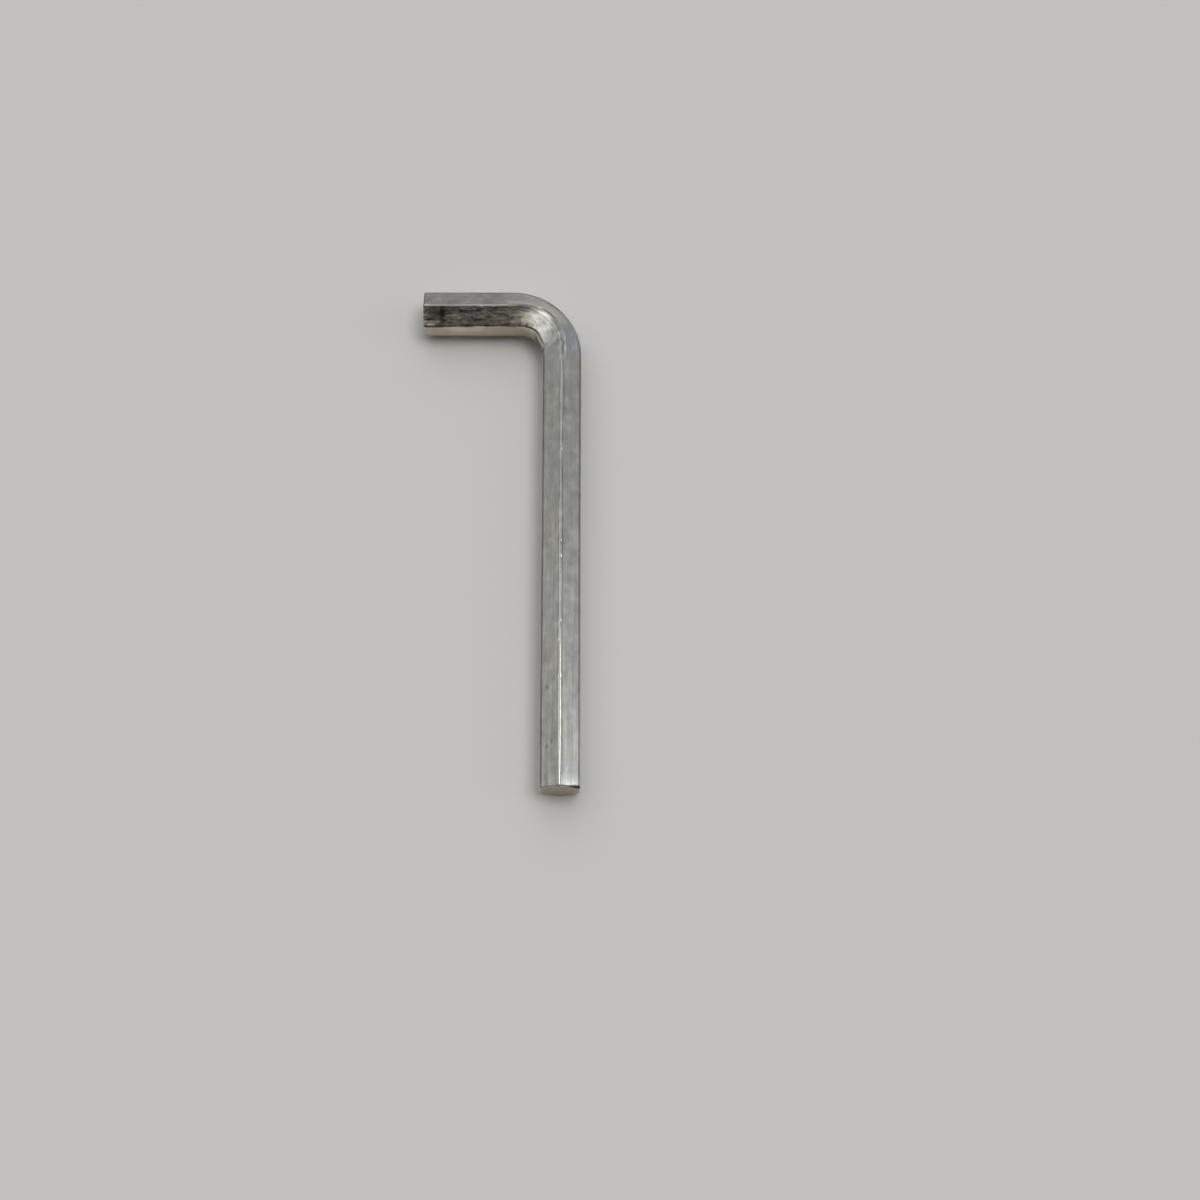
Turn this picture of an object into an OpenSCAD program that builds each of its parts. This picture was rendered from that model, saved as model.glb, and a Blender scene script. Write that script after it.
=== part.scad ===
// Bent key for hexagon socket screws: one drawn hexagon bar, cut to length, bent once through a
// right angle and zinc plated. It lies as it comes to rest, on the lower edge of both arms, with
// a flat of the bar on the inside and on the outside of the bend.
// Millimetres. +Z is up, the long arm runs along Y with its end towards -Y, and the short arm
// runs along X with its end towards -X. The origin is under the middle of the whole key.

/* [Bar] */
// Width of the bar across its flats
across_flats = 5; // [4:0.1:6]
// Rounding radius of the six edges along the bar
edge_round = 0.47; // [0.2:0.01:0.8]

/* [Arms] */
// Length of the long arm, from the outside of the short arm to its end
long_arm = 65.5; // [40:0.5:90]
// Length of the short arm, from the outside of the long arm to its end
short_arm = 20.3; // [17:0.1:40]

/* [Bend] */
// Radius of the bar's middle line round the bend
bend_radius = 6.4; // [5.5:0.1:9]
// How much thinner the bend has pressed the bar, from its inside to its outside
bend_thinning = 0.4; // [0:0.05:0.5]
// How far each edge of the inner flat spreads, and of the outer flat draws in, in the bend
edge_spread = 0.26; // [0:0.02:0.4]
// How far the top and bottom edges lean towards the outside of the bend
edge_lean = 0.35; // [0:0.05:0.5]
// Rounding radius that the bending tool has left on the top and bottom edges
pressed_round = 1.1; // [0.8:0.05:1.4]

/* [Ends] */
// Width of the bevel round both cut ends
end_bevel = 0.15; // [0.05:0.05:0.4]

/* [Hidden] */
edges = 6;
// Flat strips that make each rounded edge, and rings of the bar round the bend
edge_strips = 6;
bend_rings = 24;
// Height of the side edges above the bar's middle, where a flat meets its neighbour
side_edge_h = across_flats / (2 * sqrt(3));
// Half the height of the bar over its rounded top and bottom edges
half_height = edge_reach(edge_round);
// The inside of the bend turns about a point this much nearer the corner than the outside does
inner_centre_shift = bend_thinning / (sqrt(2) - 1);
// Where the straight arms stop, measured back from the corner of the two middle lines: a short
// straight run joins each of them to the first turned ring
run_in = 0.25;
bend_start = bend_radius + run_in;
steel = "silver";

// How far a rounded edge reaches from the bar's middle line
function edge_reach(round_r) = across_flats / sqrt(3) - round_r * (2 / sqrt(3) - 1);

// Outline of the bar: six edges rounded by an arc of 60 degrees, the top and bottom one by tall_r
function bar_outline(tall_r) = [
    for (edge = [0:edges - 1], strip = [0:edge_strips])
        let (
            direction = 30 + 60 * edge,
            turn = direction - 30 + 60 * strip / edge_strips,
            round_r = direction == 90 || direction == 270 ? tall_r : edge_round,
            centre = across_flats / sqrt(3) - round_r * 2 / sqrt(3)
        )
        [centre * cos(direction) + round_r * cos(turn), centre * sin(direction) + round_r * sin(turn)]
];

// Distance of the turning centre from the middle line, for a fibre at "out" towards the outside
function turn_centre(out) = bend_radius - inner_centre_shift * (0.5 - out / across_flats);

// Place of an outline point on the bar when the bar has turned by "turned" degrees of its 90:
// 0 is the start at the long arm, and "press" is the share of the bend's full distortion there
function bent_point(point, turned, press) =
    let (
        spread = 1 - press * edge_spread / side_edge_h * 2 * point[0] / across_flats,
        lean_share = (pow(point[1], 2) - pow(side_edge_h, 2)) / (pow(half_height, 2) - pow(side_edge_h, 2)),
        out = point[0] + press * edge_lean * lean_share,
        centre = turn_centre(point[0]),
        r = centre + out
    )
    [r * cos(turned) - centre, r * sin(turned) - centre, point[1] * spread];

// One ring of the bar, where the bend has reached the angle "turned"
function bent_ring(turned) =
    let (
        press = pow(sin(2 * turned), 2),
        tall_r = edge_round + (pressed_round - edge_round) * press
    )
    [for (point = bar_outline(tall_r)) bent_point(point, turned, press)];

// One straight arm, from the bend to its bevelled end, along +Z with a flat towards +X
module arm(length) {
    difference() {
        linear_extrude(length - across_flats / 2 - bend_start)
            polygon(bar_outline(edge_round));
        translate([0, 0, length - across_flats / 2 - bend_start])
            for (flat = [0:edges - 1])
                rotate([0, 0, 60 * flat])
                    translate([across_flats / 2 - end_bevel, -across_flats / 2, 0])
                        rotate([0, 45, 0])
                            translate([-end_bevel, 0, 0])
                                cube([4 * end_bevel, across_flats, 2 * end_bevel]);
    }
}

// The bend: rings of the bar's outline, pressed out of shape most at its middle
module bend() {
    outline = bar_outline(edge_round);
    count = len(outline);
    rings = concat(
        [[for (point = outline) [point[0], -bend_start, point[1]]]],
        [for (ring = [0:bend_rings]) bent_ring(90 * ring / bend_rings)],
        [[for (point = outline) [-bend_start, point[0], point[1]]]]
    );
    last = len(rings) - 1;
    polyhedron(
        points = [for (ring = rings) each ring],
        faces = concat(
            [[for (i = [count - 1:-1:0]) i]],
            [for (ring = [0:last - 1], i = [0:count - 1])
                let (j = (i + 1) % count)
                each [
                    [ring * count + i, ring * count + j, (ring + 1) * count + j],
                    [ring * count + i, (ring + 1) * count + j, (ring + 1) * count + i]
                ]],
            [[for (i = [0:count - 1]) last * count + i]]
        )
    );
}

module hex_bar() {
    color(steel)
        translate([(short_arm - across_flats) / 2, (long_arm - across_flats) / 2, half_height]) {
            bend();
            translate([0, -bend_start, 0])
                rotate([90, 0, 0])
                    arm(long_arm);
            translate([-bend_start, 0, 0])
                rotate([90, 0, -90])
                    arm(short_arm);
        }
}

hex_bar();
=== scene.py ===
import math
import random

import bpy
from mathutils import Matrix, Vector, noise


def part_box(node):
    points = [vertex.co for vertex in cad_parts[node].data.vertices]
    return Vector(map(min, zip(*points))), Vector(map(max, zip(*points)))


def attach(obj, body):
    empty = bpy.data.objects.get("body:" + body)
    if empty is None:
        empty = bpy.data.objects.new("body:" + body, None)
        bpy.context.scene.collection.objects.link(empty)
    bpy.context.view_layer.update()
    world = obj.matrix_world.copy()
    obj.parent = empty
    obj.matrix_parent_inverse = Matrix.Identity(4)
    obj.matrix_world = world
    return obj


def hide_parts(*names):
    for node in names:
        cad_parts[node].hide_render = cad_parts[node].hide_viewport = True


# A bent key for hexagon socket screws, lying on a pale floor: one drawn hexagon bar, bent once,
# cut square at both ends and zinc plated. Sizes of the bar are in millimetres and are turned to
# metres when its mesh is made. +Z is up, the long arm ends towards -Y, the short one towards -X.

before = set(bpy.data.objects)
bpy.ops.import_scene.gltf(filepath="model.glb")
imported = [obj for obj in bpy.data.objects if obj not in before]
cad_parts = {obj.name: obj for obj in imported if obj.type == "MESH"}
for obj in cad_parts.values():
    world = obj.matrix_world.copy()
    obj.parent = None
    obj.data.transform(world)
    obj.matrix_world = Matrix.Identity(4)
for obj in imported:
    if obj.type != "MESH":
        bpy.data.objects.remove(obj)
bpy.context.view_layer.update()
MM = 0.001

# Camera, at the photograph's viewing angle: a little right of the long arm, and leaning back
# over its end, so that the inner flat of the short arm just shows. Its place and its nearest
# distance are in metres, its turns about X, Y and Z in degrees.
CAMERA_PLACE = (0.01158, -0.09810, 0.27726)
CAMERA_TURN = (18.08, -0.20, 0.02)
CAMERA_LENS = 69.9
CAMERA_NEAR = 0.005

# The bar, with the same sizes as the solid that this mesh stands for: its width across flats,
# the rounding of its edges, the radius of its middle line in the bend, how much thinner the bend
# has pressed it, how far the inner flat spreads and the top and bottom edges lean there, the
# rounding pressed on those two, the bevel of the cut ends, and the straight run to the bend
ACROSS_FLATS = 5.0
EDGE_ROUND = 0.47
BEND_RADIUS = 6.4
BEND_THINNING = 0.4
EDGE_SPREAD = 0.26
EDGE_LEAN = 0.35
PRESSED_ROUND = 1.1
END_BEVEL = 0.15
RUN_IN = 0.25
# How far both cut ends stay back from the solid's
END_GAP = 0.005
# How far the bar turns in the bend, in degrees
BEND_ANGLE = 90
# The upright flats, between their two side edges, lean back by at most this share of EDGE_LEAN
LEAST_LEAN = -0.2

# Edges of the bar, counted from its lower one towards the outside of the bend
EDGES = 6
UPPER_EDGE = 3
EDGE_ANGLE = 60

# How finely the mesh follows the bar: strips across each rounded edge, each upper flat and each
# other flat, rings along an arm and in the bend, rings in the last stretch before each cut end,
# and rings across the cut face
EDGE_STRIPS = 8
UPPER_STRIPS = 16
OTHER_STRIPS = 6
RING_STEP = 0.17
BEND_RINGS = 72
RUN_IN_RINGS = 7
END_ZONE = 0.6
END_RINGS = 12
FACE_RINGS = 9

SIDE_EDGE_H = ACROSS_FLATS / (2 * math.sqrt(3))
HALF_HEIGHT = ACROSS_FLATS / math.sqrt(3) - EDGE_ROUND * (2 / math.sqrt(3) - 1)
CENTRE_SHIFT = BEND_THINNING / (math.sqrt(2) - 1)
BEND_START = BEND_RADIUS + RUN_IN
FLAT_WIDTH = ACROSS_FLATS / math.sqrt(3) - 2 * EDGE_ROUND * math.tan(math.radians(EDGE_ANGLE / 2))
EDGE_WIDTH = EDGE_ROUND * math.radians(EDGE_ANGLE)
# From the middle of one edge to the middle of the next, round the bar
EDGE_STEP = FLAT_WIDTH + EDGE_WIDTH
PERIMETER = EDGES * EDGE_STEP
# Distance round the bar from the middle of its lower edge to the crest of its upper one
TO_CREST = PERIMETER / 2

low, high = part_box("hex_bar")
SHORT_ARM = (high.x - low.x) / MM
LONG_ARM = (high.y - low.y) / MM
SHORT_RUN = SHORT_ARM - ACROSS_FLATS / 2 - BEND_START - END_GAP
LONG_RUN = LONG_ARM - ACROSS_FLATS / 2 - BEND_START - END_GAP
BEND_RUN = BEND_RADIUS * math.radians(BEND_ANGLE) + 2 * RUN_IN
BAR_LENGTH = SHORT_RUN + BEND_RUN + LONG_RUN
# Place of the corner where the middle lines of the two arms meet
CORNER = Vector((high.x / MM - ACROSS_FLATS / 2, high.y / MM - ACROSS_FLATS / 2, HALF_HEIGHT))


def linear(code):
    """An sRGB hex colour as the linear RGBA that the shader takes."""
    parts = [int(code[i:i + 2], 16) / 255 for i in (1, 3, 5)]
    return [c / 12.92 if c <= 0.04045 else ((c + 0.055) / 1.055) ** 2.4 for c in parts] + [1.0]


def add(tree, kind, links=(), **settings):
    """Adds one node: settings are its own properties, links its inputs by name or number."""
    made = tree.nodes.new(kind)
    for name, value in settings.items():
        setattr(made, name, value)
    for socket, value in dict(links).items():
        if isinstance(value, bpy.types.NodeSocket):
            tree.links.new(value, made.inputs[socket])
        else:
            made.inputs[socket].default_value = value
    return made


def ramp(tree, factor, *stops):
    """A colour ramp through (position, hex colour) stops."""
    made = add(tree, "ShaderNodeValToRGB", {"Fac": factor})
    elements = made.color_ramp.elements
    while len(elements) < len(stops):
        elements.new(0.5)
    for element, (position, code) in zip(elements, stops):
        element.position = position
        element.color = linear(code)
    return made.outputs["Color"]


def empty_material(name):
    """A material with an empty node tree."""
    material = bpy.data.materials.new(name)
    material.use_nodes = True
    material.node_tree.nodes.clear()
    return material, material.node_tree


def smooth(x):
    """Eases from 0 to 1."""
    x = min(1.0, max(0.0, x))
    return x * x * (3 - 2 * x)


def rise(x, start, length):
    """0 up to the start, easing to 1 over the length after it."""
    return smooth((x - start) / length)


def fall(x, start, length):
    """1 up to the start, easing to 0 over the length after it."""
    return 1 - smooth((x - start) / length)


def hump(x, middle, half):
    """1 at the middle, easing to 0 at half a width from it."""
    share = (x - middle) / half
    return (1 - share * share) ** 2 if abs(share) < 1 else 0.0


def between(here, there, share):
    """The value at this share of the way from here to there."""
    return here + (there - here) * share


def waver(layer, x, x_waves, y, y_waves):
    """Smooth noise, about -1 to 1, with so many waves a millimetre; each layer is another one."""
    return noise.noise(Vector((x * x_waves, y * y_waves, layer)))


# Outline of the bar


def bar_outline(tall_round):
    """The bar's outline from its lower edge round, as (out, up, normal's angle, distance round it,
    share of a rounded edge): 1 on the six rounded edges and 0 on the flats."""
    corners = []
    for edge in range(EDGES):
        direction = EDGE_ANGLE * edge - 90
        round_r = tall_round if edge in (0, UPPER_EDGE) else EDGE_ROUND
        centre = ACROSS_FLATS / math.sqrt(3) - round_r * 2 / math.sqrt(3)
        arc = []
        for strip in range(EDGE_STRIPS + 1):
            turn = math.radians(direction + EDGE_ANGLE * (strip / EDGE_STRIPS - 0.5))
            out = centre * math.cos(math.radians(direction)) + round_r * math.cos(turn)
            up = centre * math.sin(math.radians(direction)) + round_r * math.sin(turn)
            arc.append((out, up, turn, EDGE_WIDTH * (strip / EDGE_STRIPS - 0.5)))
        corners.append(arc)
    points = []
    for edge in range(EDGES):
        middle = edge * EDGE_STEP
        for out, up, turn, gone in corners[edge]:
            points.append((out, up, turn, middle + gone, 1.0))
        here, there = corners[edge][-1], corners[(edge + 1) % EDGES][0]
        strips = UPPER_STRIPS if edge in (UPPER_EDGE - 1, UPPER_EDGE) else OTHER_STRIPS
        for strip in range(1, strips):
            share = strip / strips
            out = between(here[0], there[0], share)
            up = between(here[1], there[1], share)
            points.append((out, up, here[2], middle + EDGE_WIDTH / 2 + FLAT_WIDTH * share, 0.0))
    return points


POINTS = len(bar_outline(EDGE_ROUND))


# The stations along the bar, from the short end to the long end


def stations():
    """(stretch, value, distance along the bar): value is a length on an arm, a share of the run
    into or out of the bend, and an angle in the bend."""
    gaps = [END_ZONE * (i / END_RINGS) ** 2 for i in range(END_RINGS)]
    made = [("short", gap, gap) for gap in gaps]
    count = round((SHORT_RUN - END_ZONE) / RING_STEP)
    for i in range(count + 1):
        value = between(END_ZONE, SHORT_RUN, i / count)
        made.append(("short", value, value))
    for i in range(1, RUN_IN_RINGS):
        share = i / RUN_IN_RINGS
        made.append(("into bend", share, SHORT_RUN + RUN_IN * share))
    for i in range(BEND_RINGS + 1):
        share = i / BEND_RINGS
        turned = BEND_ANGLE * (1 - share)
        made.append(("bend", turned, SHORT_RUN + RUN_IN + share * (BEND_RUN - 2 * RUN_IN)))
    for i in range(1, RUN_IN_RINGS):
        share = i / RUN_IN_RINGS
        made.append(("out of bend", share, SHORT_RUN + BEND_RUN - RUN_IN * (1 - share)))
    count = round((LONG_RUN - END_ZONE) / RING_STEP)
    for i in range(count + 1):
        value = (LONG_RUN - END_ZONE) * i / count
        made.append(("long", value, SHORT_RUN + BEND_RUN + value))
    for gap in reversed(gaps):
        made.append(("long", LONG_RUN - gap, BAR_LENGTH - gap))
    return made


def turn_centre(out):
    """Distance of the bend's turning centre from the middle line, for a fibre of the bar."""
    return BEND_RADIUS - CENTRE_SHIFT * (0.5 - out / ACROSS_FLATS)


def to_place(stretch, value, out, up):
    """A point of the outline, put on the bar, in millimetres in the frame."""
    centre = turn_centre(out)
    if stretch == "short":
        return CORNER + Vector((-BEND_START - SHORT_RUN + value, out, up))
    if stretch == "into bend":
        return CORNER + Vector((-BEND_START + value * (BEND_START - centre), out, up))
    if stretch == "out of bend":
        return CORNER + Vector((out, -centre - value * (BEND_START - centre), up))
    if stretch == "long":
        return CORNER + Vector((out, -BEND_START - value, up))
    turned = math.radians(value)
    press = math.sin(2 * turned) ** 2
    spread = 1 - press * EDGE_SPREAD / SIDE_EDGE_H * 2 * out / ACROSS_FLATS
    lean = (up ** 2 - SIDE_EDGE_H ** 2) / (HALF_HEIGHT ** 2 - SIDE_EDGE_H ** 2)
    radius = centre + out + press * EDGE_LEAN * max(lean, LEAST_LEAN)
    along_x = radius * math.cos(turned) - centre
    along_y = radius * math.sin(turned) - centre
    return CORNER + Vector((along_x, along_y, up * spread))


def fibre_distance(stretch, value, along, out):
    """Distance along the bar for the drawn pattern. In the bend each fibre has its own length, and
    the pattern is pressed together or drawn out evenly along it."""
    straight = BEND_START - turn_centre(out)
    curved = (turn_centre(out) + out) * math.radians(BEND_ANGLE)
    gone = {
        "into bend": value * straight,
        "bend": straight + curved * (1 - value / BEND_ANGLE),
        "out of bend": straight + curved + value * straight,
    }
    if stretch not in gone:
        return along
    return SHORT_RUN + BEND_RUN * gone[stretch] / (2 * straight + curved)


# Marks that making and use have left, as depths below the true surface in millimetres.
# Every distance along the bar below starts at its short end: the short arm ends at 11.1, the bend
# at 21.7 and the long arm at 78.0. Every distance round it starts at the crest of the upper edge
# and grows towards the outside of the bend: the side edges lie 2.6 to 3.1 from it on either side,
# and the upright flats of the bend's inside and outside reach from there to 5.4.

# How far the flats are rolled down at a cut end, and over which length
ROLLED_DEPTH = 0.04
ROLLED_LENGTH = 2.6
# Where the shear came through the long end last: the angle round the bar and how far it reaches
# to either side, in degrees, and how much wider the bevel and deeper the rolling are there
SHEARED_BEVEL = (42, 32, 0.2)
SHEARED_ROLL = (60, 40, 0.05)


def end_inset(along, turn):
    """How far the outline draws in near a cut end: a small bevel and flats rolled down, both more
    where the shear came through the long end last."""
    gap = min(along, BAR_LENGTH - along)
    added = [0.0, 0.0]
    if along > BAR_LENGTH / 2:
        degrees = math.degrees(turn)
        added = [
            most * smooth(1 - abs(degrees - middle) / half)
            for middle, half, most in (SHEARED_BEVEL, SHEARED_ROLL)
        ]
    bevel_width = END_BEVEL + added[0]
    rolled_depth = ROLLED_DEPTH + added[1]
    bevel = max(0.0, 1 - gap / bevel_width)
    rolled = max(0.0, 1 - gap / ROLLED_LENGTH)
    return bevel_width * (1 - math.sqrt(1 - bevel ** 2)) + rolled_depth * rolled ** 3


# Patches drawn lighter or darker, some left by making and handling and some painted highlight and
# shade: distance along the bar, distance round it, half length, half width, and share of brightness
# gained
PATCHES = [
    # The short arm's inner side: dark bands and lighter ones between them
    (2.5, -0.8, 5.0, 0.9, -0.3),
    (5.2, -0.43, 7.0, 0.25, 0.2),
    (4.8, -0.85, 6.0, 0.35, -0.25),
    (6.0, -1.33, 6.5, 0.6, 0.75),
    (5.2, -1.79, 7.0, 0.3, -0.2),
    (6.0, -2.15, 8.5, 0.38, 0.35),
    (8.4, -2.15, 5.0, 0.45, 0.6),
    (6.5, -2.48, 5.0, 0.22, -0.35),
    (1.0, -2.55, 2.0, 0.32, 0.8),
    (10.0, -1.5, 5.0, 1.3, 0.1),
    (11.3, -1.0, 1.9, 0.6, 0.12),
    # Dark spots on it, the largest where the bend starts
    (2.95, -1.55, 0.5, 0.3, -0.4),
    (5.9, -1.65, 0.7, 0.25, -0.4),
    (8.3, -0.4, 0.9, 0.25, -0.5),
    (11.4, -1.7, 0.9, 0.5, -0.35),
    (12.2, -0.66, 2.3, 0.42, -0.55),
    (13.0, -0.35, 2.4, 0.5, -0.65),
    # Flecks on it where the film has worn through to bright zinc, and the clamp's groove
    (4.6, -0.5, 0.7, 0.25, 1.5),
    (6.65, -0.45, 0.5, 0.25, 1.5),
    (3.9, -1.45, 0.6, 0.3, 0.5),
    (8.1, -1.3, 0.4, 0.2, 0.5),
    (1.95, -2.0, 0.3, 0.7, 0.5),
    # The inner side of the bend, painted lighter as part of its highlight
    (12.7, -1.35, 0.9, 0.45, 0.25),
    (12.9, -1.5, 1.6, 2.0, 0.36),
    (13.6, -1.6, 0.8, 0.6, 0.25),
    (14.3, -1.1, 1.5, 1.3, 0.38),
    (16.2, -1.9, 0.7, 0.5, 0.15),
    (16.6, -2.2, 2.8, 1.3, 0.22),
    # Darker spots painted into that highlight, and where it fades as the bend runs out
    (14.0, -2.0, 1.4, 0.8, -0.2),
    (14.3, -0.5, 0.9, 0.4, -0.25),
    (15.9, -0.42, 1.2, 0.2, -0.25),
    (15.9, -0.8, 1.1, 0.2, -0.3),
    (16.8, -0.15, 0.7, 0.3, -0.25),
    (17.4, -0.45, 0.8, 0.5, -0.3),
    (17.6, -2.0, 2.2, 1.0, -0.2),
    (18.4, -0.5, 1.6, 0.8, -0.4),
    (19.2, -1.0, 2.1, 1.5, -0.35),
    (20.0, -0.7, 1.4, 0.7, -0.3),
    # Its lower rim, painted dark as shade in the pressed crease
    (13.4, -2.46, 0.6, 0.35, -0.4),
    (14.6, -2.35, 0.9, 0.35, -0.2),
    (15.75, -2.7, 0.9, 0.35, -0.25),
    # A painted glint, and the painted shade and highlights of small press marks, on the bend's upper
    # edge
    (14.6, 0.2, 0.38, 0.22, 1.2),
    (19.2, -0.2, 0.4, 0.3, 0.5),
    (19.9, 0.25, 0.5, 0.3, 0.25),
    (20.2, 0.02, 0.45, 0.28, -0.5),
    (20.7, 0.28, 0.45, 0.28, -0.6),
    (21.4, 0.12, 0.65, 0.26, -0.55),
    (21.4, 0.55, 0.8, 0.3, 0.2),
    # The upper edge of the short arm, rubbed bright in places, which also paints its highlight
    # brighter there
    (0.4, 0.0, 0.7, 0.3, 0.5),
    (7.0, 0.0, 1.6, 0.3, 0.25),
    # A groove beside the upper edge, with painted shade in it and a painted highlight on its rim
    (27.5, 0.32, 6.5, 0.18, -0.25),
    (26.5, 0.7, 6.0, 0.25, 0.15),
    # The outer side of the bend, rubbed on its way out
    (15.6, 1.3, 2.4, 1.6, 0.07),
    (20.3, 2.2, 2.0, 1.2, 0.2),
    # The upright inner flat: lighter in the middle of the short arm, darker beside it, light in
    # the middle of the bend and dark where it ends, and a little darker half way the long arm
    (5.2, -3.5, 3.0, 0.8, 0.2),
    (0.5, -4.2, 4.0, 2.0, -0.2),
    (10.5, -4.2, 4.5, 2.0, -0.28),
    (15.9, -4.2, 1.8, 2.0, 0.25),
    (18.8, -3.9, 2.2, 2.0, -0.45),
    (52.0, -4.2, 12.0, 2.0, -0.25),
]


# Marks that the photo shows, and what bending has swollen or pressed in: distance along, distance
# round, half length, half width, depth, which is negative where the bar stands out
SEEN_MARKS = [
    # The inner flat swells where the bend ends, and the outer flat in the middle of the bend
    (18.3, -3.4, 3.2, 3.0, -0.25),
    (16.2, 3.6, 4.5, 1.6, -0.11),
    # The clamp has rolled down the short arm's inner side edge, but not at its very end
    (7.5, -2.84, 5.5, 0.9, 0.09),
    (0.3, -2.84, 2.6, 0.9, -0.07),
    # A clamp's groove across the short arm
    (2.35, -1.45, 0.16, 1.6, 0.02),
    # Press marks on the upper edge where the bend runs out
    (14.9, 0.0, 0.25, 0.25, 0.03),
    (19.1, 0.05, 0.3, 0.25, 0.035),
    (19.8, -0.1, 0.22, 0.2, 0.045),
    (20.6, 0.1, 0.35, 0.22, 0.03),
    # A groove beside the upper edge
    (24.9, 0.36, 2.4, 0.1, 0.02),
    (28.1, 0.62, 0.25, 0.16, 0.02),
    # Flattened stretches and nicks of the upper edge
    (36.2, 0.0, 1.6, 0.2, 0.02),
    (47.1, 0.0, 0.3, 0.2, 0.02),
    (49.1, 0.05, 0.25, 0.2, 0.03),
    (57.6, -0.05, 0.55, 0.22, 0.03),
    (64.5, 0.0, 0.2, 0.22, 0.03),
    # Small dents in the flat on the inner side
    (65.4, -1.75, 0.3, 0.13, 0.012),
    (73.0, -1.8, 0.25, 0.2, 0.014),
    (72.4, -1.2, 0.25, 0.2, 0.012),
]


# Painted shade in the clamp's groove, in the pressed rim of the bend and in three small dents:
# distance along, distance round, half length, half width, share
PAINTED_HOLLOW_SHADE = [
    (2.45, -1.35, 0.55, 2.6, 0.9),
    (13.2, -2.45, 0.5, 0.3, 0.9),
    (65.6, -1.8, 0.5, 0.22, 0.5),
    (73.0, -1.8, 0.35, 0.25, 0.5),
    (72.4, -1.15, 0.4, 0.25, 0.4),
]


# Nicks in the edges and pits in the upper flats that handling has left all over the bar
NICKS = 60
PITS = 50
# The edges that get nicks, counted from the upper one, which gets twice as many
NICKED_EDGES = (0, 0, 1, -1, 2, -2)
# How far nicks and pits keep from both cut ends
MARK_MARGIN = 0.5


def random_marks():
    """The nicks and pits, in the columns of SEEN_MARKS."""
    random.seed(11)
    marks = []
    for nick in range(NICKS):
        edge = random.choice(NICKED_EDGES) * EDGE_STEP
        marks.append((
            random.uniform(MARK_MARGIN, BAR_LENGTH - MARK_MARGIN),
            edge + random.uniform(-0.2, 0.2),
            random.uniform(0.1, 0.4),
            random.uniform(0.08, 0.2),
            random.uniform(0.006, 0.022),
        ))
    for pit in range(PITS):
        marks.append((
            random.uniform(MARK_MARGIN, BAR_LENGTH - MARK_MARGIN),
            random.uniform(-2.6, 2.6),
            random.uniform(0.1, 0.3),
            random.uniform(0.08, 0.18),
            random.uniform(0.003, 0.01),
        ))
    return marks


MARKS = SEEN_MARKS + random_marks()


def near(along, spots):
    """The spots that reach this place along the bar, with their strength there."""
    found = []
    for at, side, half_length, half_width, strength in spots:
        share = hump(along, at, half_length)
        if share > 0:
            found.append((side, half_width, strength * share))
    return found


# How far the whole surface lies below the solid's, which leaves room for its waves
BASE_DEPTH = 0.012
# Height of the long waves that drawing leaves, of the narrower ones in them, and of the uneven
# wear near the upper edge's crest
WAVE_HEIGHT = 0.006
NARROW_WAVE_HEIGHT = 0.003
CREST_WAVE_HEIGHT = 0.008
CREST_REACH = 0.6


def wear(along, side, turn, marks):
    """Depth of all marks at one point of the bar."""
    depth = BASE_DEPTH + WAVE_HEIGHT * waver(3.0, side, 0.55, along, 0.16)
    depth += NARROW_WAVE_HEIGHT * waver(8.0, side, 2.1, along, 0.11)
    if abs(side) < CREST_REACH:
        depth += CREST_WAVE_HEIGHT * waver(2.0, side, 2.5, along, 0.7)
    for at, half_width, deep in marks:
        depth += deep * hump(side, at, half_width)
    return depth + end_inset(along, turn)


# How deep the bending tool has pressed the surface in the middle of the bend, and how much deeper
# its upper edge, with half the width that this takes
PRESS_DEPTH = 0.012
CREST_PRESS = 0.06
CREST_PRESS_HALF = 1.1
# A low swell of the inner side where the bend starts: half its length, the middle and half of its
# width round the bar, and its height
START_SWELL = (1.83, -1.7, 2.0, 0.05)


def pressed(press, along, run, around, side):
    """Depth that the bending tool adds: press is its share in the bend, run the distance along
    the bar's own fibre."""
    depth = press * PRESS_DEPTH * (1 + waver(1.0, around, 1.1, along, 0.8))
    depth += press * CREST_PRESS * hump(side, 0, CREST_PRESS_HALF)
    half_length, at, half_width, height = START_SWELL
    swell = hump(run, SHORT_RUN + half_length, half_length) * hump(side, at, half_width)
    return depth - height * swell


# How the zinc looks at each point of the bar


def on_inner_side(side, start, end, ease):
    """1 on the upper flat of the bend's inner side, between two distances from the crest."""
    return rise(-side, start, ease) * rise(side, -end, ease)


def film(along, side):
    """Tint of the zinc's clear film: 0 bluish, 0.35 neutral, 0.7 greenish, 1 straw-coloured."""
    if side < -2.9:
        inner_tint = 1.0 - 0.4 * rise(along, 16, 6)
    else:
        inner_tint = 0.95 - 0.35 * rise(along, 9, 9) - 0.2 * rise(side, -1.8, 1.2) * fall(along, 9, 3)
    blue_spot = 0.6 * hump(along, 19.4, 3.0) * hump(side, 1.4, 1.6)
    outer_tint = 0.62 - 0.2 * rise(along, 15, 6) - blue_spot
    tint = between(inner_tint, outer_tint, rise(side, -0.4, 0.8))
    underneath = abs(side) > 2 * EDGE_STEP
    if underneath:
        tint = 1.0
    tint += 0.2 * rise(along, 60, 8) * hump(side, -0.1, 0.5)
    return tint + 0.12 * waver(5.0, side, 0.5, along, 0.12)


# Where the dark band of the long end and the dark rim of the short end lie round the bar, how dark the
# band is on the bend's inner side and on its outer side, how wide it is there, and how dark and wide
# the rim
LONG_END_BAND_SPAN = (-3.1, 3.8)
RIM_SPAN = (0, 3.1)
LONG_END_BAND_SHARES = (0.25, 0.9)
LONG_END_BAND_WIDTHS = (0.06, 0.3)
RIM_SHARE = 0.6
RIM_WIDTH = 0.13


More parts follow.
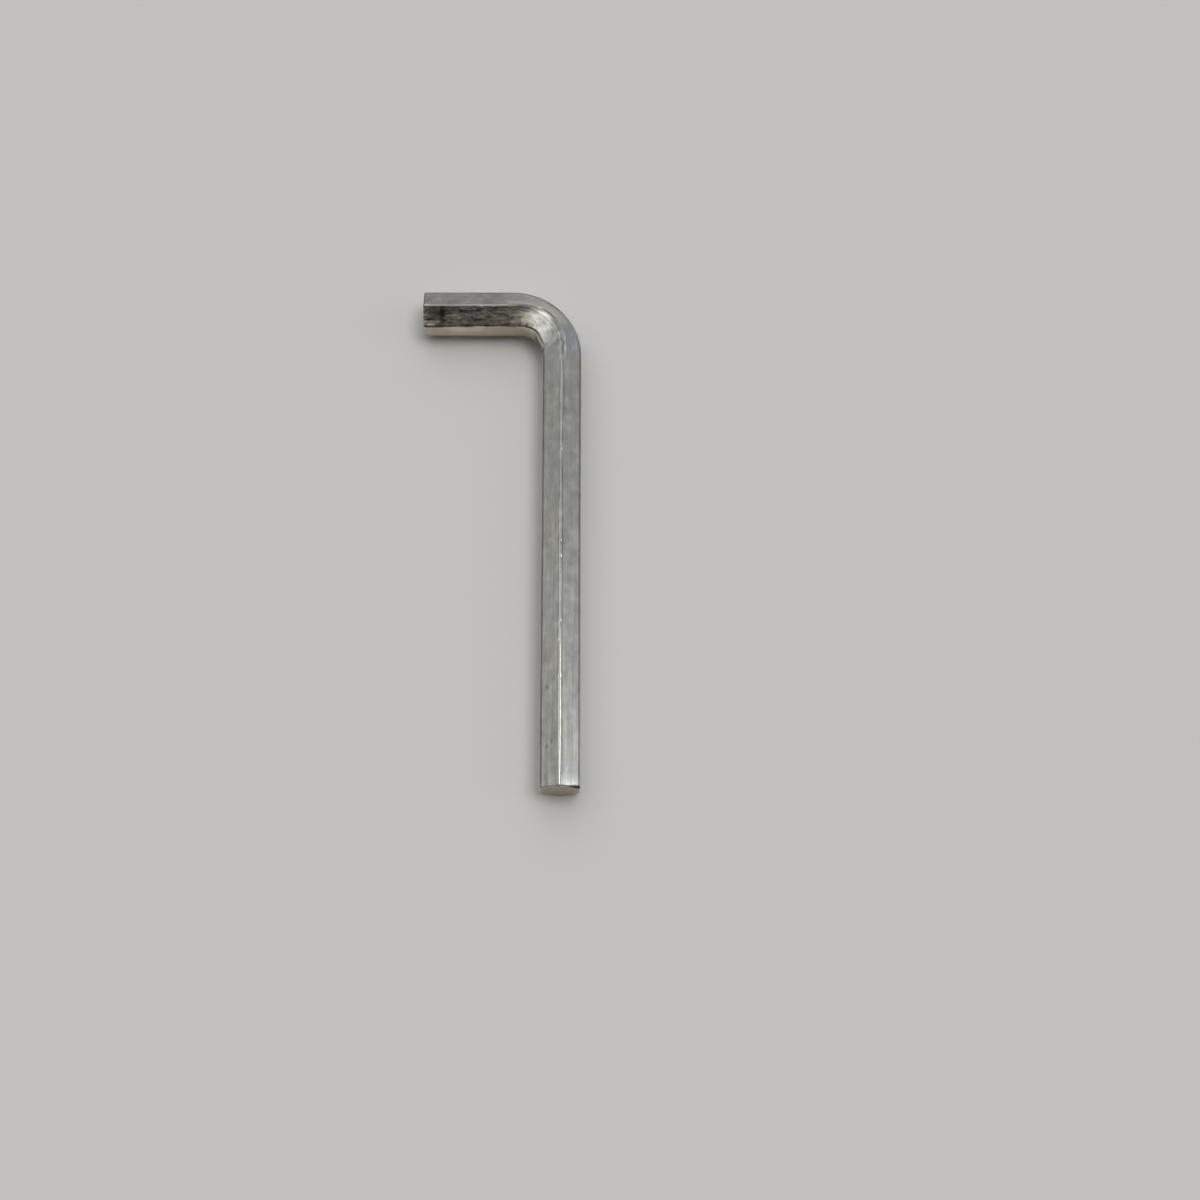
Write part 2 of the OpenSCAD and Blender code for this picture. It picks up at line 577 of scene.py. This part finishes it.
def dark_bands_and_shade(along, side):
    """Darkening: a band along the cut edge of the long end, wider and darker towards the bend's outer
    side, a thin rim on the outer side of the short end, and painted shade in the groove, the pressed
    rim and the dents listed above."""
    outer = rise(side, 0.35, 2)
    dark = 0.0
    if LONG_END_BAND_SPAN[0] < side < LONG_END_BAND_SPAN[1]:
        long_end_band = fall(BAR_LENGTH - along, between(*LONG_END_BAND_WIDTHS, outer), 0.08)
        dark = between(*LONG_END_BAND_SHARES, outer) * long_end_band
    if RIM_SPAN[0] < side < RIM_SPAN[1]:
        dark = max(dark, RIM_SHARE * fall(along, RIM_WIDTH, 0.1))
    # Painted shade in the clamp's groove, the bend's pressed rim and three dents
    on_flat = on_inner_side(side, 0.1, 2.8, 0.15)
    for at, place, half_length, half_width, share in PAINTED_HOLLOW_SHADE:
        spot = hump(along, at, half_length) * hump(side, place, half_width)
        dark = max(dark, on_flat * share * spot)
    return dark


def grain_share(along, side):
    """How strongly the zinc's grain shows: most on the short arm's inner upper flat."""
    on_flat = on_inner_side(side, 0.1, 3.1, 0.3)
    return 0.12 + on_flat * (0.65 * fall(along, 10, 3) + 0.35 * fall(along, 15, 6))


def dull_share(along, side):
    """Where the bending tool has rubbed the zinc dull: the upper edge all round the bend but its
    middle, the inner side where the bend starts, and strips along the short arm's inner side."""
    in_bend = rise(along, 10, 2.5) * fall(along, 21, 2.5) * (1 - hump(along, 16.2, 1.6))
    crest = in_bend * fall(abs(side - 0.1), 0.3, 0.8 - 0.5 * rise(along, 17, 2))
    bend_start = 0.65 * hump(along, 12.3, 2.7) * hump(side, -1.5, 1.8)
    strips = 0.17 * hump(side, -1.35, 0.6) + 0.4 * hump(side, -2.25, 0.5)
    strips += 0.35 * hump(side, -2.75, 0.3)
    return max(crest, bend_start, strips * fall(along, 10, 3))


def streak_share(along, turn):
    """How strongly the drawing streaks show: more towards the long end on its outer flats."""
    outer = rise(math.cos(turn), -0.25, 0.5)
    return 0.35 + 0.65 * outer * rise(along, 45, 30)


def short_arm_darkening(along, side):
    """How much darker the inner upper flat of the short arm is drawn, fading out from 9 to 14 mm along
    it.
    """
    return 0.46 * on_inner_side(side, 0.15, 3.0, 0.2) * fall(along, 9, 5)


def upper_edge(along, side):
    """Brightness across the upper edge: a narrow crest with a painted highlight, stronger towards the
    long end and in the middle of the bend, between two flanks painted darker as shade."""
    bend_highlight = hump(along, 15.85, 1.5)
    bend_start = hump(along, 12.3, 2.4)
    bend_end = hump(along, 20.8, 2.8)
    on_long_arm = rise(along, 21, 3)
    near_bend = on_long_arm * fall(along, 34, 8)
    # The crest's painted highlight, stronger towards the long end and in the middle of the bend; the
    # flanks below are painted darker
    crest = 0.32 + 0.08 * on_long_arm * fall(along, 30, 8) + 0.1 * rise(along, 57, 5)
    crest += 0.5 * bend_highlight - 0.16 * bend_start - 0.12 * hump(along, 22.4, 2.6)
    crest -= 0.06 * rise(along, 24, 6) * fall(along, 56, 6)
    if side >= 0:
        flank = 0.74 - 0.2 * (bend_highlight + bend_start) - 0.28 * bend_end
        flank += 0.2 * on_long_arm + 0.4 * near_bend
        reach = 0.04 + 0.12 * on_long_arm - 0.06 * rise(along, 60, 8)
        return between(flank, crest, fall(side, reach, 0.12))
    flank = 0.26 + 0.56 * rise(along, 12.5, 2.5) + 0.2 * bend_highlight
    flank -= 0.12 * (bend_start + bend_end) + 0.27 * on_long_arm + 0.15 * near_bend
    flank += 0.35 * on_long_arm * rise(-side, 0.16, 0.08) - 0.18 * rise(along, 33, 8)
    reach = 0.06 - 0.07 * rise(along, 35, 10) - 0.13 * near_bend
    return between(flank, crest, fall(-side, reach, 0.1))


def side_edge(along, side):
    """Brightness across the two side edges, painted dark as shade along the bar's outline: from the
    upper half of each, which is lighter on the inner side of the short arm and where the bend ends, to
    the lower half."""
    on_short_arm = fall(along, 11, 3)
    upper_half = 0.55 - 0.12 * hump(along, 14, 3) + 0.35 * hump(along, 18.2, 2.6)
    if side < 0:
        upper_half = 0.45 + 0.6 * on_short_arm + 0.6 * hump(along, 19.7, 3.3)
    lower_half = 1.1 - 0.15 * on_short_arm
    middle = 0.98 - 0.04 * hump(along, 8, 5)
    return between(upper_half, lower_half, rise(abs(side) / EDGE_STEP, middle, 0.05))


# Brightness of the upper half of the two lower side edges, painted dark as shade along the lower
# outline, and of all that lies below it
LOWER_EDGES = 0.6
UNDERSIDE = 1.4


def tone(along, side, edge, patches):
    """Brightness of the zinc: painted dark on the six edges, as shade along the bar's outline and
    beside its crest, which carries a painted highlight; brighter towards the long end, and with the
    patches on top."""
    value = 1.0 + 0.12 * rise(along, 30, 25)
    if side > 0:
        value -= 0.12 * fall(along, 9, 3)
    drift = side + 0.16 * waver(7.0, along, 1.3, side, 1.5)
    for at, half_width, change in patches:
        value += change * hump(drift, at, half_width)
    value *= 1 - short_arm_darkening(along, side)
    # The six edges: painted shade along the outline, and the crest's painted highlight
    edges_round = abs(side) / EDGE_STEP
    if edges_round > 2:
        return UNDERSIDE * value
    if abs(side) < EDGE_WIDTH:
        dull = upper_edge(along, side)
    elif edges_round > 1.5:
        dull = LOWER_EDGES
    else:
        dull = side_edge(along, side)
    return value * between(1, dull, edge)


def key_mesh():
    """The whole bar as one closed mesh. Each corner of a face has its place round and along the bar.
    Each point has the zinc's brightness, with its painted shade and highlights, its tint and grain
    there, and how much it is rubbed dull, streaked and darkened, partly by painted shade."""
    rings = stations()
    verts, faces, places, skin, rubbed = [], [], [], [], []
    plain = bar_outline(EDGE_ROUND)
    runs = [[fibre_distance(*ring, point[0]) for point in plain] for ring in rings]
    for (stretch, value, along), ring_runs in zip(rings, runs):
        outline = plain
        press = 0.0
        if stretch == "bend":
            press = math.sin(math.radians(2 * value)) ** 2
            outline = bar_outline(EDGE_ROUND + (PRESSED_ROUND - EDGE_ROUND) * press)
        marks = near(along, MARKS)
        patches = near(along, PATCHES)
        for (out, up, turn, _, edge), (_, _, _, around, _), run in zip(outline, plain, ring_runs):
            side = TO_CREST - around
            depth = wear(run, side, turn, marks) + pressed(press, along, run, around, side)
            out -= depth * math.cos(turn)
            up -= depth * math.sin(turn)
            verts.append(to_place(stretch, value, out, up))
            skin += [tone(along, side, edge, patches), film(along, side), grain_share(along, side)]
            rubbed += [dull_share(along, side), streak_share(along, turn), dark_bands_and_shade(along, side)]
    for ring in range(len(rings) - 1):
        a, b = ring * POINTS, (ring + 1) * POINTS
        v0, v1 = runs[ring], runs[ring + 1]
        for i in range(POINTS):
            j = (i + 1) % POINTS
            faces.append((a + i, a + j, b + j, b + i))
            u0 = plain[i][3]
            u1 = plain[j][3] if j else PERIMETER - EDGE_WIDTH / 2
            places += [(u0, v0[i], 0), (u1, v0[j], 0), (u1, v1[j], 0), (u0, v1[i], 0)]
    bar_faces = len(faces)
    for end, first in (("short", 0), ("long", (len(rings) - 1) * POINTS)):
        close_end(verts, faces, places, end, first)
    # The cut faces have a material of their own, which reads neither of these
    skin += [0.0] * (3 * len(verts) - len(skin))
    rubbed += [0.0] * (3 * len(verts) - len(rubbed))
    mesh = bpy.data.meshes.new("key_bar")
    mesh.from_pydata([v * MM for v in verts], [], faces)
    corner_places = [number for place in places for number in place]
    for name, domain, numbers in (
        ("bar_place", "CORNER", corner_places),
        ("bar_skin", "POINT", skin),
        ("bar_rubbed", "POINT", rubbed),
    ):
        attribute = mesh.attributes.new(name, "FLOAT_VECTOR", domain)
        attribute.data.foreach_set("vector", numbers)
    for index, face in enumerate(mesh.polygons):
        face.use_smooth = True
        face.material_index = 0 if index < bar_faces else 1
    mesh.validate()
    mesh.update()
    return mesh


# How deep the shear has torn the cut faces, in millimetres, and how many tears there are in one
TORN_DEPTH = 0.03
TEARS = 1.7


def close_end(verts, faces, places, end, first):
    """Closes a cut end with rings that run in to its middle, torn a little by the shear."""
    rim = verts[first:first + POINTS]
    middle = sum(rim, Vector()) / POINTS
    inward = Vector((1, 0, 0)) if end == "short" else Vector((0, 1, 0))
    last = first
    for ring in range(1, FACE_RINGS):
        share = 1 - ring / FACE_RINGS
        start = len(verts)
        for point in rim:
            place = middle + (point - middle) * share
            torn = TORN_DEPTH * (noise.noise(place * TEARS) + 1) * smooth(ring / 3)
            verts.append(place + inward * torn)
        for i in range(POINTS):
            j = (i + 1) % POINTS
            quad = (last + i, start + i, start + j, last + j)
            faces.append(quad if end == "short" else quad[::-1])
            places += [(0, 0, 0)] * 4
        last = start
    verts.append(middle + inward * TORN_DEPTH)
    for i in range(POINTS):
        j = (i + 1) % POINTS
        tip = (last + i, len(verts) - 1, last + j)
        faces.append(tip if end == "short" else tip[::-1])
        places += [(0, 0, 0)] * 3


# Materials


# Most that a light patch can add to the zinc's tint before it would reflect more than it gets
BRIGHTEST = 1.4
# The zinc's clear film from bluish to straw-coloured, as film() counts it
FILM = ((0.0, "#CBCED7"), (0.35, "#D0D2D0"), (0.7, "#D3D2C8"), (1.0, "#D6CBB6"))
# Near-black brown of the dark bands at the cut ends and of the painted shade in hollows
DARK_BAND_AND_SHADE = "#2E2B28"
# Roughness of the satin zinc, from its smoothest to its roughest blotch, and what rubbing adds
SATIN = (0.15, 0.23)
RUBBED_ROUGHER = 0.3
# How far the die's lines, its wide streaks and the zinc's grain stand out, in millimetres
LINE_HEIGHT = 0.007
STREAK_HEIGHT = 0.04
GRAIN_HEIGHT = 0.035
# Nearly all of a noise pattern lies between these two values
NOISE_RANGE = {"From Min": 0.3, "From Max": 0.7}
# Share of brightness that the grain takes and adds at most, that a streak takes or adds, and that
# the darkest blotch leaves
MOTTLE = (-0.75, 1.0)
STREAK_TONE = 0.3
DARKEST_BLOTCH = 0.84


def zinc_plated_steel():
    """Cold-drawn steel bar under thin bright zinc. The drawing die leaves fine lines along the bar, a
    satin mirror with soft streaks; the zinc's grain breaks the reflections up; its clear film tints it
    from bluish to straw. Its brightness is painted dark along the six edges, as shade along the bar's
    outline, and carries painted highlights on the crest and in the bend; it darkens to a near-black
    brown in bands at the cut ends and as painted shade in hollows."""
    material, tree = empty_material("zinc_plated_drawn_steel")
    place = add(tree, "ShaderNodeAttribute", attribute_name="bar_place").outputs["Vector"]
    skin = add(tree, "ShaderNodeAttribute", attribute_name="bar_skin").outputs["Vector"]
    brightness, film_tint, graininess = list(add(tree, "ShaderNodeSeparateXYZ", {0: skin}).outputs)
    worn = add(tree, "ShaderNodeAttribute", attribute_name="bar_rubbed").outputs["Vector"]
    rubbed, streaked, band_and_shade_share = list(add(tree, "ShaderNodeSeparateXYZ", {0: worn}).outputs)

    def pattern(around, along, detail, rough, distortion=0.0):
        """Noise with so many features a millimetre round and along the bar."""
        per_mm = (around, along, 0)
        at = add(tree, "ShaderNodeVectorMath", {0: place, 1: per_mm}, operation="MULTIPLY")
        return add(tree, "ShaderNodeTexNoise", {
            "Vector": at.outputs[0], "Scale": 1.0, "Detail": detail, "Roughness": rough,
            "Distortion": distortion}).outputs["Fac"]

    # The die's own lines are a few hundredths of a millimetre apart, less than a pixel: most of
    # their height goes to coarser ones, five in a millimetre, and each runs for over a centimetre
    lines = pattern(5.0, 0.08, 3.0, 0.5)
    streaks = pattern(1.3, 0.05, 2.0, 0.5)
    stripes = pattern(2.6, 0.06, 3.0, 0.6)
    # Zinc grains are a few thousandths of a millimetre wide: what the eye sees is their clusters,
    # about half a millimetre round the bar and a millimetre along it
    grain = pattern(2.4, 1.0, 2.5, 0.5, 0.3)
    mottle = pattern(1.9, 0.8, 3.0, 0.6, 0.3)
    blotch = pattern(0.9, 0.4, 4.0, 0.5)

    grain = add(tree, "ShaderNodeMath", {0: grain, 1: graininess}, operation="MULTIPLY")
    mottle = add(tree, "ShaderNodeMapRange", {
        "Value": mottle, **NOISE_RANGE, "To Min": MOTTLE[0], "To Max": MOTTLE[1]})
    mottle = add(tree, "ShaderNodeMath", {0: mottle.outputs["Result"], 1: graininess, 2: 1.0},
                 operation="MULTIPLY_ADD")
    stripe = add(tree, "ShaderNodeMapRange", {
        "Value": stripes, "From Min": 0.25, "From Max": 0.75,
        "To Min": -STREAK_TONE, "To Max": STREAK_TONE})
    stripe = add(tree, "ShaderNodeMath", {0: stripe.outputs["Result"], 1: streaked, 2: 1.0},
                 operation="MULTIPLY_ADD")
    shade = add(tree, "ShaderNodeMapRange", {
        "Value": blotch, **NOISE_RANGE, "To Min": DARKEST_BLOTCH, "To Max": 1.0}).outputs["Result"]
    for part in (stripe.outputs["Value"], mottle.outputs["Value"], brightness):
        shade = add(tree, "ShaderNodeMath", {0: shade, 1: part}, operation="MULTIPLY").outputs["Value"]
    shade = add(tree, "ShaderNodeMath", {0: shade, 1: BRIGHTEST}, operation="MINIMUM")
    toned = add(tree, "ShaderNodeVectorMath", {
        0: ramp(tree, film_tint, *FILM), "Scale": shade.outputs["Value"]}, operation="SCALE")
    # Darkens towards a near-black brown: bands at the cut ends, and painted shade in hollows
    colour = add(tree, "ShaderNodeMix", {"Factor": band_and_shade_share, 6: toned.outputs[0], 7: linear(DARK_BAND_AND_SHADE)},
                 data_type="RGBA").outputs[2]

    satin = add(tree, "ShaderNodeMapRange", {
        "Value": blotch, **NOISE_RANGE, "To Min": SATIN[0], "To Max": SATIN[1]}).outputs["Result"]
    rough = add(tree, "ShaderNodeMath", {0: rubbed, 1: RUBBED_ROUGHER, 2: satin},
                operation="MULTIPLY_ADD").outputs["Value"]
    reliefs = ((lines, LINE_HEIGHT), (streaks, STREAK_HEIGHT), (grain.outputs["Value"], GRAIN_HEIGHT))
    normal = None
    for height, most in reliefs:
        links = {"Height": height, "Strength": 1.0, "Distance": most * MM}
        if normal:
            links["Normal"] = normal
        normal = add(tree, "ShaderNodeBump", links).outputs["Normal"]
    shader = add(tree, "ShaderNodeBsdfPrincipled", {
        "Base Color": colour, "Metallic": 1.0, "Roughness": rough, "Normal": normal})
    add(tree, "ShaderNodeOutputMaterial", {"Surface": shader.outputs["BSDF"]})
    return material


# The cut ends: browner than the drawn sides, from the hollows to the tops of their torn grain,
# which has four tears in a millimetre and stands out by so many millimetres
TORN = ((0.3, "#A59A88"), (0.7, "#C4BAA8"))
TORN_GRAINS = 4.0
TORN_GRAIN_HEIGHT = 0.03
TORN_ROUGHNESS = 0.45


def sheared_steel():
    """The cut ends: steel torn by the shear and plated over, so duller, rougher and browner."""
    material, tree = empty_material("zinc_plated_sheared_steel")
    place = add(tree, "ShaderNodeTexCoord").outputs["Object"]
    grain = add(tree, "ShaderNodeTexNoise", {
        "Vector": place, "Scale": TORN_GRAINS / MM, "Detail": 4.0}).outputs["Fac"]
    bump = add(tree, "ShaderNodeBump", {
        "Height": grain, "Strength": 1.0, "Distance": TORN_GRAIN_HEIGHT * MM})
    shader = add(tree, "ShaderNodeBsdfPrincipled", {
        "Base Color": ramp(tree, grain, *TORN), "Metallic": 1.0, "Roughness": TORN_ROUGHNESS,
        "Normal": bump.outputs["Normal"]})
    add(tree, "ShaderNodeOutputMaterial", {"Surface": shader.outputs["BSDF"]})
    return material


# Half the width of the floor, in metres
FLOOR_HALF = 3.0


def floor_sheet():
    """Pale grey matt laminate under the key."""
    material, tree = empty_material("matt_grey_laminate")
    shader = add(tree, "ShaderNodeBsdfPrincipled", {
        "Base Color": linear("#C0BFBC"), "Roughness": 0.9, "Specular IOR Level": 0.1})
    add(tree, "ShaderNodeOutputMaterial", {"Surface": shader.outputs["BSDF"]})
    mesh = bpy.data.meshes.new("floor")
    turns = ((-1, -1), (1, -1), (1, 1), (-1, 1))
    mesh.from_pydata([(x * FLOOR_HALF, y * FLOOR_HALF, 0) for x, y in turns], [], [(0, 1, 2, 3)])
    mesh.materials.append(material)
    floor = bpy.data.objects.new("floor", mesh)
    bpy.context.scene.collection.objects.link(floor)


# Light: a pale room with soft lamps, given by direction only

# Level of the room at the height of the floor, and what it changes by straight overhead
ROOM_LEVEL = 0.34
ROOM_CHANGE = 0.05
# Compass angle from +X towards +Y, height angle, radius of the full part, width of its soft rim,
# and strength: a round lamp overhead, a pale ceiling behind the short arm, and two soft sides
LAMPS = [
    (10, 75, 9, 10, 7.2),
    (100, 55, 34, 5, 0.88),
    (-165, 59, 15, 18, 3.2),
    (-1, 32, 3, 18, 0.94),
]
# Dark cards on the near side of the room, which the inner sides of both arms mirror: the same
# columns, with the share of light taken as the last. Where they overlap the darker one counts.
CARDS = [
    (-130, 50, 40, 5, 0.78),
    (-72, 32, 30, 12, 0.78),
]


def studio_light():
    """The room, the lamps added to it, and the cards that darken parts of it."""
    world = bpy.data.worlds.new("studio")
    bpy.context.scene.world = world
    world.use_nodes = True
    tree = world.node_tree
    tree.nodes.clear()
    look = add(tree, "ShaderNodeTexCoord").outputs["Generated"]

    def disc(compass, height, radius, rim):
        """1 within the radius of a direction, easing to 0 over the rim; angles in degrees."""
        compass, height = math.radians(compass), math.radians(height)
        level = math.cos(height)
        toward = (level * math.cos(compass), level * math.sin(compass), math.sin(height))
        facing = add(tree, "ShaderNodeVectorMath", {0: look, 1: toward}, operation="DOT_PRODUCT")
        angle = add(tree, "ShaderNodeMath", {0: facing.outputs["Value"]}, operation="ARCCOSINE")
        return add(tree, "ShaderNodeMapRange", {
            "Value": angle.outputs["Value"],
            "From Min": math.radians(radius + rim), "From Max": math.radians(radius)},
            interpolation_type="SMOOTHSTEP").outputs["Result"]

    height = add(tree, "ShaderNodeSeparateXYZ", {0: look}).outputs["Z"]
    total = add(tree, "ShaderNodeMath", {0: height, 1: ROOM_CHANGE, 2: ROOM_LEVEL},
                operation="MULTIPLY_ADD").outputs["Value"]
    for *place, strength in LAMPS:
        total = add(tree, "ShaderNodeMath", {0: disc(*place), 1: strength, 2: total},
                    operation="MULTIPLY_ADD").outputs["Value"]
    left = 1.0
    for *place, depth in CARDS:
        shade = add(tree, "ShaderNodeMath", {0: disc(*place), 1: -depth, 2: 1.0},
                    operation="MULTIPLY_ADD").outputs["Value"]
        left = add(tree, "ShaderNodeMath", {0: shade, 1: left}, operation="MINIMUM").outputs["Value"]
    total = add(tree, "ShaderNodeMath", {0: total, 1: left}, operation="MULTIPLY").outputs["Value"]
    sky = add(tree, "ShaderNodeBackground", {"Color": (1, 1, 1, 1), "Strength": total})
    add(tree, "ShaderNodeOutputWorld", {"Surface": sky.outputs["Background"]})


def camera():
    """The camera, from above, leaning back over the end of the long arm."""
    lens = bpy.data.cameras.new("camera")
    lens.lens = CAMERA_LENS
    lens.clip_start = CAMERA_NEAR
    holder = bpy.data.objects.new("camera", lens)
    holder.location = CAMERA_PLACE
    holder.rotation_euler = [math.radians(angle) for angle in CAMERA_TURN]
    bpy.context.scene.collection.objects.link(holder)
    bpy.context.scene.camera = holder


bpy.context.scene.view_settings.view_transform = "Standard"
camera()
studio_light()
floor_sheet()

key = bpy.data.objects.new("key_bar", key_mesh())
bpy.context.scene.collection.objects.link(key)
key.data.materials.append(zinc_plated_steel())
key.data.materials.append(sheared_steel())
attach(key, "root")
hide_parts("hex_bar")
